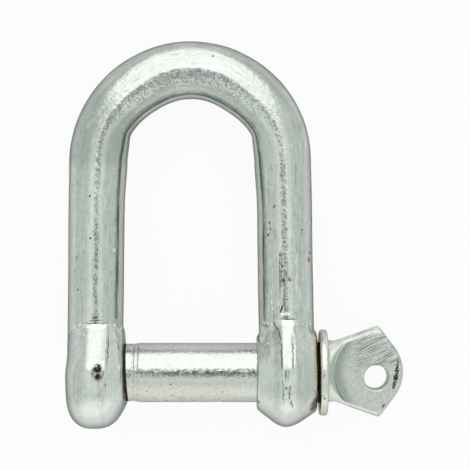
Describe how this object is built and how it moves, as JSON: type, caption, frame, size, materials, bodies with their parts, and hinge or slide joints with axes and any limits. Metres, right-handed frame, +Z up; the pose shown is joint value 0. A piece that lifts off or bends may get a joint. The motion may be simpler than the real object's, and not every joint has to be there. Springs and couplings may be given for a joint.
{
  "type": "screw pin chain shackle",
  "caption": "Long D-shaped shackle of round bar with two forged ears, closed by a collared screw pin that ends in a flat drilled eye. Joins lengths of chain.",
  "frame": {"origin": "on the pin's axis, midway between the inner faces of the two ears", "axes": "+X along the pin towards its drilled eye, +Y from the pin towards the crown, +Z up; the shackle lies on the rims of its two ears and on its crown, so both pieces lean by about 5.3 degrees about X"},
  "size_m": [0.0571, 0.0651, 0.019],
  "materials": {
    "zinc_bow": "zinc coated forged steel, semi-gloss, with small pits, tool marks and a few brown stains",
    "zinc_pin": "zinc coated turned and pressed steel, glossy on the shank, brushed on the eye"
  },
  "bodies": {
    "bow": {"shackle_bow": "zinc_bow"},
    "pin": {"screw_pin": "zinc_pin"}
  },
  "joints": [
    {"name": "pin_slide", "type": "slide", "parent": "bow", "child": "pin", "axis": [1, 0, 0], "range_m": [-0.00035, 0.045]}
  ]
}
